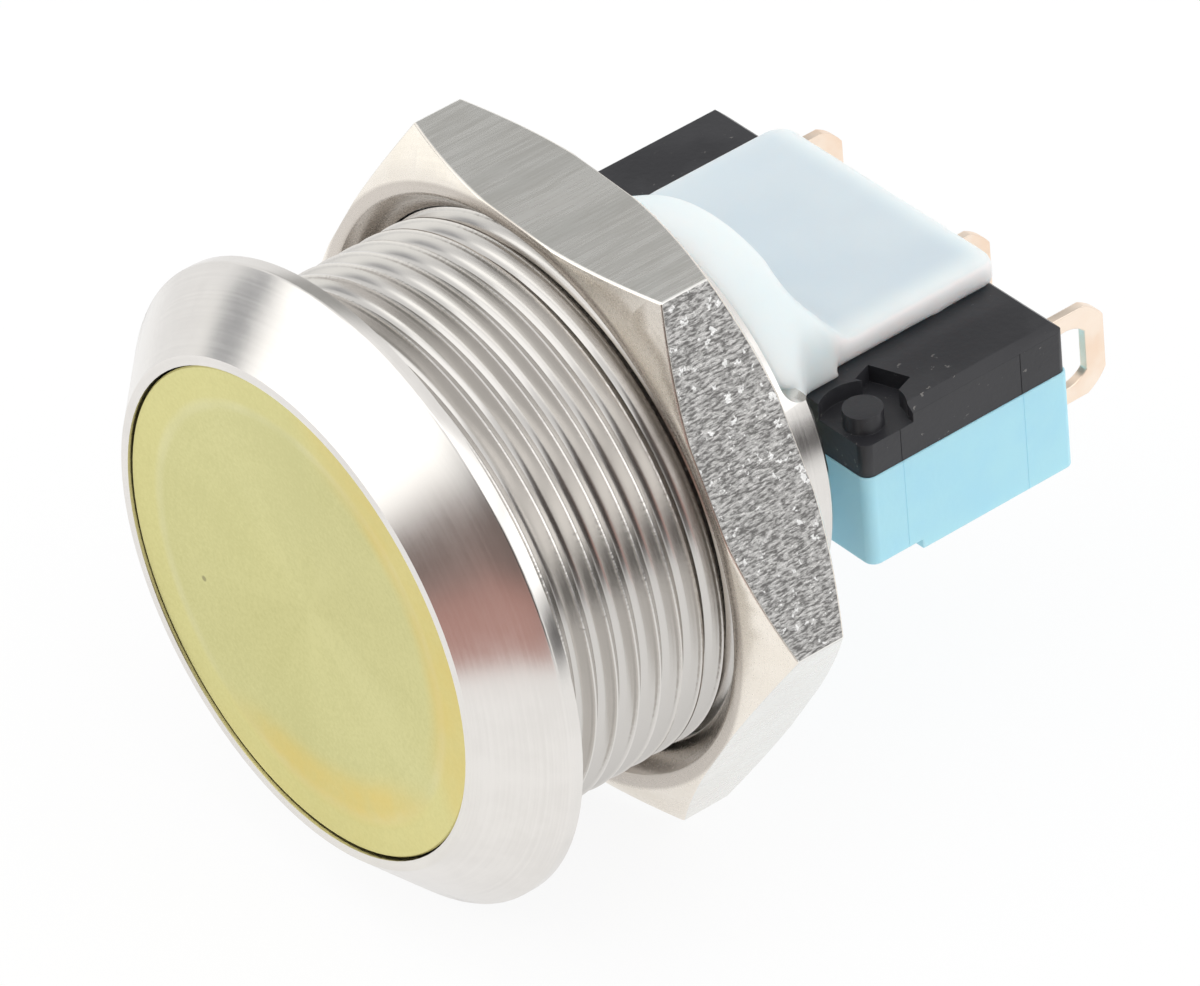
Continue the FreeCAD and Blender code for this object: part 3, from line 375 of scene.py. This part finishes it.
def nylon_material():
    """Natural nylon: milky and slightly bluish. Light passes into it; painted shade darkens it over
    the switch below, and painted light brightens the plate's free side.
    """
    m = Material("holder_milky_nylon", (0.80, 0.88, 0.90), 0.34)
    x, y, _ = m.split(m.place())
    # painted shade: the nylon over the switch is coloured darker
    over = m.times(m.ramp(y, *PAINTED_SHADE_FRONT), m.ramp(y, *PAINTED_SHADE_REAR, 1.0, 0.15))
    over = m.times(over, m.ramp(x, *PAINTED_SHADE_SIDE, 1.0, 0.0))
    cloud = m.noise(m.place(), 260.0, 3.0)
    mottling = m.ramp(cloud, 0.3, 0.7)
    milky = m.blend(mottling, (0.80, 0.885, 0.905), (0.84, 0.91, 0.925))
    painted_shade_color = m.blend(mottling, (0.64, 0.725, 0.785), (0.67, 0.75, 0.80))
    # painted light: the plate's side facing +X, away from the dark switch, is coloured near white
    facing_x, _, _ = m.split(m.normal())
    painted_light_side = m.times(m.ramp(facing_x, 0.5, 0.9), m.ramp(y, *PAINTED_LIGHT_FRONT))
    m.feed("Base Color", m.blend(painted_light_side, m.blend(over, milky, painted_shade_color), (1.0, 0.995, 0.98)))
    m.feed("Roughness", m.ramp(cloud, 0.3, 0.7, 0.3, 0.4))
    m.feed("Normal", m.bump(m.noise(m.place(), 5200.0, 3.0), 0.002 * MM))
    m.set("Subsurface Weight", 1.0)
    m.set("Subsurface Radius", (0.8, 0.95, 1.0))
    m.set("Subsurface Scale", 1.5 * MM)
    m.set("Specular IOR Level", 0.4)
    return m.material


def moulded_material(name, color, other, roughness, grain_depth, speck=None, scatter=0.0):
    """Moulded plastic: faint mottling, fine grain, and scattered light scuffs where asked."""
    m = Material(name, color, roughness)
    cloud = m.noise(m.place(), 350.0, 3.0)
    base = m.blend(m.ramp(cloud, 0.35, 0.65), color, other)
    if speck is not None:
        dots = m.stretched_noise(m.place(), (3600.0, 2200.0, 3600.0), 3.0, 0.6)
        where = m.ramp(m.noise(m.place(), 210.0, 2.0), 0.43, 0.60)
        base = m.blend(m.times(m.ramp(dots, 0.66, 0.71), where), base, speck)
    m.feed("Base Color", base)
    m.feed("Roughness", m.ramp(cloud, 0.3, 0.7, roughness * 0.85, roughness * 1.2))
    m.feed("Normal", m.bump(m.noise(m.place(), 4200.0, 3.0), grain_depth))
    if scatter:
        m.set("Subsurface Weight", scatter)
        m.set("Subsurface Radius", (1.0, 1.0, 1.0))
        m.set("Subsurface Scale", 0.5 * MM)
    return m.material


def copper_material(name, color, other):
    """Rolled strip: fine lines along the strip, tarnish in soft clouds."""
    m = Material(name, color, 0.3, 1.0)
    strip = m.stretched_noise(m.place(), (2600.0, 900.0, 2600.0), 3.0)
    cloud = m.noise(m.place(), 520.0, 3.0)
    m.feed("Base Color", m.blend(m.ramp(cloud, 0.35, 0.68), color, other))
    m.feed("Roughness", m.ramp(strip, 0.3, 0.7, 0.3, 0.4))
    m.feed("Normal", m.bump(strip, 0.0015 * MM))
    return m.material


def wire_material(name, color, roughness):
    """Drawn wire or stamped spring steel, with faint drawing lines."""
    m = Material(name, color, roughness, 1.0)
    lines = m.noise(m.place(), 2600.0, 3.0)
    darker = tuple(part * 0.8 for part in color)
    m.feed("Base Color", m.blend(m.ramp(lines, 0.3, 0.7), color, darker))
    m.feed("Roughness", m.ramp(lines, 0.3, 0.7, roughness * 0.8, roughness * 1.3))
    m.feed("Normal", m.bump(lines, 0.003 * MM))
    return m.material


# ---- mesh helpers

def new_object(name, mesh, material, body, node):
    """A piece that stands for a CAD node, moves with a body and has a material slot."""
    piece = bpy.data.objects.new(name, mesh)
    bpy.context.scene.collection.objects.link(piece)
    mesh.materials.clear()
    mesh.materials.append(material)
    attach(piece, body)
    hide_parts(node)
    return piece


def as_shape(mesh):
    """The mesh as a bmesh without its stored normals, which shade a changed mesh wrongly."""
    if "custom_normal" in mesh.attributes:
        mesh.attributes.remove(mesh.attributes["custom_normal"])
    shape = bmesh.new()
    shape.from_mesh(mesh)
    bpy.data.meshes.remove(mesh)
    return shape


def as_mesh(shape, name, sharp=None):
    """The bmesh as a smooth mesh, kept sharp where its faces meet at more than this angle."""
    mesh = bpy.data.meshes.new(name)
    for face in shape.faces:
        face.smooth = True
    shape.to_mesh(mesh)
    shape.free()
    if sharp is not None:
        mesh.set_sharp_from_angle(angle=math.radians(sharp))
    return mesh


def cad_copy(node):
    """The CAD node's mesh as one welded bmesh."""
    shape = as_shape(NODES[node].data.copy())
    bmesh.ops.remove_doubles(shape, verts=shape.verts, dist=WELD)
    return shape


def evaluated(piece):
    """The piece's mesh with its modifiers carried out, as a bmesh."""
    graph = bpy.context.evaluated_depsgraph_get()
    return as_shape(bpy.data.meshes.new_from_object(piece.evaluated_get(graph), depsgraph=graph))


def softened(node, name, material, body, width, detail=None):
    """The node with every sharp edge rounded to this width, and small detail cut in afterwards."""
    shape = cad_copy(node)
    limit = math.radians(FLAT_ANGLE)
    bmesh.ops.dissolve_limit(shape, angle_limit=limit, verts=shape.verts, edges=shape.edges)
    piece = new_object(name, as_mesh(shape, name, ROUNDED_ANGLE), material, body, node)
    bevel = piece.modifiers.new("edge_rounding", "BEVEL")
    bevel.width = width
    bevel.segments = 2
    bevel.limit_method = "ANGLE"
    bevel.angle_limit = math.radians(ROUNDED_ANGLE)
    if detail is None:
        bevel.harden_normals = True
        return piece
    shape = evaluated(piece)
    detail(shape)
    piece.modifiers.clear()
    piece.data = as_mesh(shape, name, SEAMED_ANGLE)
    piece.data.materials.append(material)
    flat_faces = piece.modifiers.new("flat_faces", "WEIGHTED_NORMAL")
    flat_faces.keep_sharp = True
    return piece


def paint(node, material):
    """Give a CAD node a material of its own; its shape stays."""
    materials = NODES[node].data.materials
    if not materials:
        materials.append(material)
    for index in range(len(materials)):
        materials[index] = material


# ---- the bushing, with its thread cut

def thread_radius(y, depth):
    """Radius of the thread at a station, faded out at the flange and chamfered at the free end."""
    share = min(1.0, max(0.0, y / RUN_OUT))
    radius = CREST_RADIUS - THREAD_DEPTH * depth * share * share * (3 - 2 * share)
    chamfer_end = CREST_RADIUS - THREAD_CHAMFER
    if y >= THREAD_END:
        return chamfer_end
    return min(radius, chamfer_end + THREAD_END - y)


def root_depth(share):
    """Share of the thread's depth at a share of the pitch: round between two sharp crests."""
    between = (share - CREST_HALF) / (1 - 2 * CREST_HALF)
    return math.sin(math.pi * max(0.0, min(1.0, between))) ** ROOT_POWER


def thread_surface(shape):
    """Add the barrel's outside: a right-hand thread whose rows of points follow its helix."""
    profile = [(share, root_depth(share)) for share in THREAD_ROWS]
    # the rows run out past both ends of the barrel, and the points there are held at its ends
    turns = round(THREAD_END / PITCH) + 3
    rows = [(turn - 2 + share, depth) for turn in range(turns) for share, depth in profile]
    grid = []
    for along, depth in rows:
        line = []
        for column in range(THREAD_COLUMNS + 1):
            angle = 2 * math.pi * column / THREAD_COLUMNS
            y = FIRST_CREST + PITCH * (along - column / THREAD_COLUMNS + 1)
            y = min(THREAD_END, max(0.0, y))
            radius = thread_radius(y, depth)
            line.append(shape.verts.new((radius * math.cos(angle), y, radius * math.sin(angle))))
        grid.append(line)
    for lower, upper in zip(grid, grid[1:]):
        for column in range(THREAD_COLUMNS):
            corners = (lower[column], upper[column], upper[column + 1], lower[column + 1])
            stations = [vert.co.y for vert in corners]
            if max(stations) - min(stations) > THINNEST:
                shape.faces.new(corners)
    loose = [vert for vert in shape.verts if not vert.link_faces]
    bmesh.ops.delete(shape, geom=loose, context="VERTS")
    made = [vert for line in grid for vert in line if vert.is_valid]
    bmesh.ops.remove_doubles(shape, verts=made, dist=THREAD_WELD)


def threaded_bushing(material):
    """The bushing, with the thread in place of its plain barrel and end chamfer."""
    shape = cad_copy("bushing")
    chamfer_start = THREAD_END - THREAD_CHAMFER
    chamfer_low = CREST_RADIUS - THREAD_CHAMFER
    old = []
    for face in shape.faces:
        radii = [math.hypot(vert.co.x, vert.co.z) for vert in face.verts]
        stations = [vert.co.y for vert in face.verts]
        on_crest = all(abs(radius - CREST_RADIUS) < NEAR for radius in radii)
        on_barrel = all(-NEAR < y < chamfer_start + NEAR for y in stations)
        at_end = all(chamfer_start - NEAR < y < THREAD_END + NEAR for y in stations)
        slanted = min(radii) > chamfer_low - NEAR and max(radii) - min(radii) > NEAR
        if (on_crest and on_barrel) or (at_end and slanted):
            old.append(face)
    bmesh.ops.delete(shape, geom=old, context="FACES")
    thread_surface(shape)
    mesh = as_mesh(shape, "bushing_threaded", THREAD_ANGLE)
    return new_object("bushing_threaded", mesh, material, "housing", "bushing")


# ---- the button, the holder, the switch and the small pieces

def turned_button(material):
    """The button, its cap made fuller to fit the narrow gap round the real one."""
    cap = softened(
        "push_button", "push_button_turned", material, "button", BUTTON_ROUNDING)
    cap_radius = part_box("push_button")[1][0]
    cap_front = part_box("push_button")[0][1]
    for vert in cap.data.vertices:
        from_axis = math.hypot(vert.co.x, vert.co.z)
        wanted = from_axis
        if vert.co.y < cap_front + CAP_FACE_DEPTH:
            if from_axis > cap_radius - CAP_EDGE:
                vert.co.y = cap_front + (vert.co.y - cap_front) * EDGE_SHARE
                wanted = cap_radius - (cap_radius - from_axis) * EDGE_SHARE
            vert.co.y -= CAP_RISE
        if from_axis > CAP_SIDE:
            wanted += CAP_SWELL
        if wanted != from_axis:
            vert.co.x *= wanted / from_axis
            vert.co.z *= wanted / from_axis
    return cap


def rise(values, low, high):
    """From 0 at low to 1 at high, for an array."""
    return np.clip((values - low) / (high - low), 0, 1)


def moulded_holder(material):
    """The nylon holder: its edges rounded, and its shoulder and foot run together in soft fillets."""
    name = "switch_holder_moulded"
    mesh = as_mesh(cad_copy("switch_holder"), name)
    piece = new_object(name, mesh, material, "housing", "switch_holder")
    remesh = piece.modifiers.new("even_mesh", "REMESH")
    remesh.mode = "VOXEL"
    remesh.voxel_size = HOLDER_VOXEL
    shape = evaluated(piece)
    piece.modifiers.clear()
    shape.verts.ensure_lookup_table()
    points = np.array([vert.co for vert in shape.verts])
    links = np.array([(edge.verts[0].index, edge.verts[1].index) for edge in shape.edges])
    count = np.zeros(len(points))
    np.add.at(count, links.ravel(), 1)
    # how far each smoothing reaches, by a point's place in millimetres
    x, y, z = points.T / MM
    bare = rise(y, *HOLDER_BARE)
    shoulder = bare * rise(SHOULDER_END - y, 0.0, 0.9) * rise(z, 2.9, 3.6)
    foot = bare * rise(FOOT_END - y, 0.0, 0.8) * rise(z, 2.35, 2.9) * rise(x, 2.8, 4.2)
    for turns, reach in zip(SMOOTHING_TURNS, (0.5 * bare, shoulder, foot)):
        weight = 0.5 * reach
        for _ in range(turns):
            total = np.zeros_like(points)
            np.add.at(total, links[:, 0], points[links[:, 1]])
            np.add.at(total, links[:, 1], points[links[:, 0]])
            points += (total / count[:, None] - points) * weight[:, None]
    for vert, point in zip(shape.verts, points):
        vert.co = point
    piece.data = as_mesh(shape, name)
    piece.data.materials.append(material)
    return piece


def side_seams(shape):
    """Cut the narrow seams across the right-hand side."""
    across = (0.0, 1.0, 0.0)
    for station in SEAM_STATIONS:
        for edge in (station - SEAM_WIDTH / 2, station + SEAM_WIDTH / 2):
            geometry = shape.verts[:] + shape.edges[:] + shape.faces[:]
            place = (0.0, edge, 0.0)
            bmesh.ops.bisect_plane(shape, geom=geometry, plane_co=place, plane_no=across, dist=1e-9)
    shape.normal_update()
    strips = []
    for face in shape.faces:
        middle = face.calc_center_median()
        on_seam = any(abs(middle.y - station) < SEAM_WIDTH / 2 for station in SEAM_STATIONS)
        if on_seam and middle.x > SEAM_SIDE and face.normal.x > 0.8:
            strips.append(face)
    bmesh.ops.inset_region(shape, faces=strips, thickness=0.0, depth=-SEAM_DEPTH)


def moulded_case():
    """The switch's light blue base and its black cover."""
    blue = moulded_material(
        "base_light_blue", (0.45, 0.82, 1.0), (0.48, 0.85, 1.0), 0.38, 0.006 * MM, scatter=0.3)
    softened(
        "switch_base", "switch_base_moulded", blue, "housing", BASE_ROUNDING,
        detail=side_seams)
    black = moulded_material(
        "cover_black", (0.018, 0.018, 0.022), (0.026, 0.026, 0.03), 0.36, 0.008 * MM,
        speck=(0.20, 0.19, 0.18))
    softened(
        "switch_cover", "switch_cover_moulded", black, "housing", COVER_ROUNDING,
        detail=side_seams)


def stamped_terminals():
    """The three solder terminals."""
    copper = copper_material("terminal_bare_copper", (1.0, 0.86, 0.73), (0.96, 0.76, 0.60))
    for terminal in ("terminal_common", "terminal_normally_open", "terminal_normally_closed"):
        softened(
            terminal, f"{terminal}_stamped", copper, "housing",
            TERMINAL_ROUNDING)


def coiled_spring(material):
    """The return spring, given a mesh of its own; the real one shortens towards its shelf as the
    button goes in.
    """
    name = "return_spring_coiled"
    mesh = as_mesh(cad_copy("return_spring"), name, SPRING_ANGLE)
    spring = new_object(name, mesh, material, "housing", "return_spring")
    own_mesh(spring)
    return spring


def painted_nodes():
    """Materials for the small CAD nodes that keep their own shape."""
    paint("button_seal", moulded_material(
        "seal_black_rubber", (0.012, 0.012, 0.012), (0.02, 0.02, 0.02), 0.6, 0.006 * MM))
    paint("retaining_ring", wire_material("ring_blackened", (0.16, 0.155, 0.15), 0.4))
    paint("stem_pusher", moulded_material(
        "pusher_natural", (0.80, 0.79, 0.72), (0.84, 0.82, 0.76), 0.4, 0.006 * MM, scatter=0.3))
    paint("switch_plunger", moulded_material(
        "plunger_red", (0.55, 0.05, 0.04), (0.62, 0.07, 0.05), 0.4, 0.006 * MM))
    bronze = copper_material("blade_bronze", (0.82, 0.60, 0.38), (0.74, 0.52, 0.31))
    for leaf in ("moving_blade", "snap_spring"):
        paint(leaf, bronze)
    silver = wire_material("contact_silver_face", (0.86, 0.86, 0.84), 0.22)
    for rivet in ("moving_contact", "fixed_contact_normally_closed", "fixed_contact_normally_open"):
        paint(rivet, silver)
    paint("blade_rivet", wire_material("rivet_brass", (0.80, 0.66, 0.36), 0.3))


threaded_bushing(bushing_material())
turned_button(button_material())
softened("panel_nut", "panel_nut_milled", nut_material(), "nut", NUT_ROUNDING)
moulded_holder(nylon_material())
moulded_case()
stamped_terminals()
coiled_spring(wire_material("spring_drawn_wire", (0.55, 0.55, 0.56), 0.3))
painted_nodes()


# ---- floor, light and camera

FLOOR_Z = -13.05 * MM
FLOOR_SIDE = 4.0
# Metal sees the floor no further out than this
TABLE_RADIUS = 55 * MM
# How much of the floor's white is light of its own, in other rays and for the camera
FLOOR_GLOW = (0.7, 0.9)

# Places in the tent that are not white: azimuth from +X towards +Y, height above the horizon, half
# width and half height of the even part, softness beyond it, all in degrees, and the colour there
TENT_PLACES = (
    (-152, -3, 9, 5, 8, (1.25, 1.25, 1.22)),
    (-117, 7, 9, 5, 7, (0.10, 0.095, 0.09)),
    (-40, 16, 20, 19, 11, (0.08, 0.065, 0.06)),
    (-68, 13, 12, 3, 15, (0.24, 0.185, 0.17)),
    (-60, -6, 12, 6, 11, (0.56, 0.32, 0.28)),
    (-86, -10, 8, 8, 6, (0.08, 0.065, 0.06)),
    (-156, 13, 2, 6, 9, (0.42, 0.43, 0.45)),
    (29, -3, 11, 4, 9, (0.10, 0.095, 0.095)),
    (142, 38, 25, 6, 16, (0.41, 0.41, 0.40)),
    (-115, 33, 30, 5, 16, (1.75, 1.75, 1.72)),
    (31, 22, 16, 7, 7, (1.9, 1.9, 1.9)),
    (10, 56, 25, 10, 14, (1.8, 1.8, 1.8)),
)
TENT_STRENGTH = 0.95

LAMP_PLACE = (-0.05, -0.12, 0.55)
LAMP_TARGET = (0.0, 0.01, 0.0)
LAMP_SIDE = 0.45
LAMP_POWER = 0.35

# The camera's place and axes, as solved from the photograph's perspective, and its lens in mm
CAMERA_PLACE = (0.24245, -0.16239, 0.22035)
CAMERA_RIGHT = (0.62655, 0.77547, -0.07790)
CAMERA_UP = (-0.42722, 0.42533, 0.79785)
CAMERA_BACK = (0.65185, -0.46662, 0.59780)
LENS = 300.0
SENSOR_WIDTH = 36.0


def floor_material():
    """A lit white table: it keeps a faint shadow, and metal sees only its near part."""
    m = Material("studio_floor_white", (1.0, 1.0, 1.0), 0.9)
    tone = m.noise(m.place(), 3.0, 2.0)
    m.feed("Base Color", m.blend(tone, (0.985, 0.985, 0.985), (1.0, 1.0, 1.0)))
    m.set("Specular IOR Level", 0.0)
    glow = m.node("ShaderNodeEmission")
    glow.inputs["Color"].default_value = (1.0, 1.0, 1.0, 1.0)
    seen = m.node("ShaderNodeLightPath").outputs["Is Camera Ray"]
    lit = m.node("ShaderNodeMixShader")
    m.into(lit, 0, m.blend_value(seen, *FLOOR_GLOW))
    m.into(lit, 1, m.shader.outputs[0])
    m.into(lit, 2, glow.outputs[0])
    x, y, _ = m.split(m.place())
    far = m.ramp(m.length(x, y), TABLE_RADIUS, TABLE_RADIUS * 1.3)
    whole = m.node("ShaderNodeMixShader")
    m.into(whole, 0, m.times(far, m.math("SUBTRACT", 1.0, seen)))
    m.into(whole, 1, lit.outputs[0])
    m.into(whole, 2, m.node("ShaderNodeBsdfTransparent").outputs[0])
    m.into(m.tree.nodes["Material Output"], "Surface", whole.outputs[0])
    return m.material


def studio_floor():
    bpy.ops.mesh.primitive_plane_add(size=FLOOR_SIDE, location=(0.0, 0.0, FLOOR_Z))
    floor = bpy.context.object
    floor.name = "studio_floor"
    floor.data.materials.append(floor_material())


def world_light():
    """A white studio tent with softboxes and darker gaps, and plain white for the camera."""
    world = bpy.data.worlds.new("studio_tent")
    bpy.context.scene.world = world
    world.use_nodes = True
    tree = world.node_tree
    tree.nodes.clear()

    def node(kind, values=(), **settings):
        made = tree.nodes.new(kind)
        for key, value in settings.items():
            setattr(made, key, value)
        for index, value in enumerate(values):
            if isinstance(value, bpy.types.NodeSocket):
                tree.links.new(value, made.inputs[index])
            else:
                made.inputs[index].default_value = value
        return made

    def number(operation, *values):
        return node("ShaderNodeMath", values, operation=operation).outputs[0]

    def along(way):
        made = node("ShaderNodeVectorMath", (direction, way), operation="DOT_PRODUCT")
        return made.outputs["Value"]

    def beyond(angle, half):
        """How far an angle lies outside the even part, and 0 inside it."""
        outside = number("SUBTRACT", number("ABSOLUTE", angle), math.radians(half))
        return number("MAXIMUM", outside, 0.0)

    direction = node("ShaderNodeTexCoord").outputs["Generated"]
    height = number("ARCSINE", along((0.0, 0.0, 1.0)))
    tint = node("ShaderNodeRGB").outputs[0]
    tint.default_value = (1.0, 1.0, 1.0, 1.0)
    for azimuth, level, wide, tall, soft, inside in TENT_PLACES:
        turn = math.radians(azimuth)
        ahead = along((math.cos(turn), math.sin(turn), 0.0))
        aside = along((-math.sin(turn), math.cos(turn), 0.0))
        beside = beyond(number("ARCTAN2", aside, ahead), wide)
        above = beyond(number("SUBTRACT", height, math.radians(level)), tall)
        squares = number("ADD", number("MULTIPLY", beside, beside), number("MULTIPLY", above, above))
        ends = (number("SQRT", squares), 0.0, math.radians(soft), 1.0, 0.0)
        fade = node("ShaderNodeMapRange", ends, interpolation_type="SMOOTHSTEP")
        mix = node("ShaderNodeMix", data_type="RGBA")
        tree.links.new(fade.outputs[0], mix.inputs[0])
        tree.links.new(tint, mix.inputs[6])
        mix.inputs[7].default_value = (*inside, 1.0)
        tint = mix.outputs[2]
    tent = node("ShaderNodeBackground", (tint, TENT_STRENGTH))
    plain = node("ShaderNodeBackground", ((1.0, 1.0, 1.0, 1.0), 1.0))
    seen = node("ShaderNodeLightPath").outputs["Is Camera Ray"]
    choose = node("ShaderNodeMixShader", (seen, tent.outputs[0], plain.outputs[0]))
    out = node("ShaderNodeOutputWorld")
    tree.links.new(choose.outputs[0], out.inputs["Surface"])


def softbox_above():
    data = bpy.data.lights.new("softbox_above", "AREA")
    data.shape = "SQUARE"
    data.size = LAMP_SIDE
    data.energy = LAMP_POWER
    lamp = bpy.data.objects.new("softbox_above", data)
    bpy.context.scene.collection.objects.link(lamp)
    lamp.location = LAMP_PLACE
    lamp.rotation_mode = "QUATERNION"
    lamp.rotation_quaternion = (Vector(LAMP_TARGET) - Vector(LAMP_PLACE)).to_track_quat("-Z", "Y")


def photo_camera():
    """The camera, standing where the photograph's stood."""
    data = bpy.data.cameras.new("camera")
    data.sensor_width = SENSOR_WIDTH
    data.lens = LENS
    data.clip_start = 0.01
    data.clip_end = 20.0
    camera = bpy.data.objects.new("camera", data)
    bpy.context.scene.collection.objects.link(camera)
    turn = Matrix((CAMERA_RIGHT, CAMERA_UP, CAMERA_BACK)).transposed().to_4x4()
    camera.matrix_world = Matrix.Translation(CAMERA_PLACE) @ turn
    bpy.context.scene.camera = camera


studio_floor()
world_light()
softbox_above()
photo_camera()
bpy.context.scene.view_settings.view_transform = "Standard"
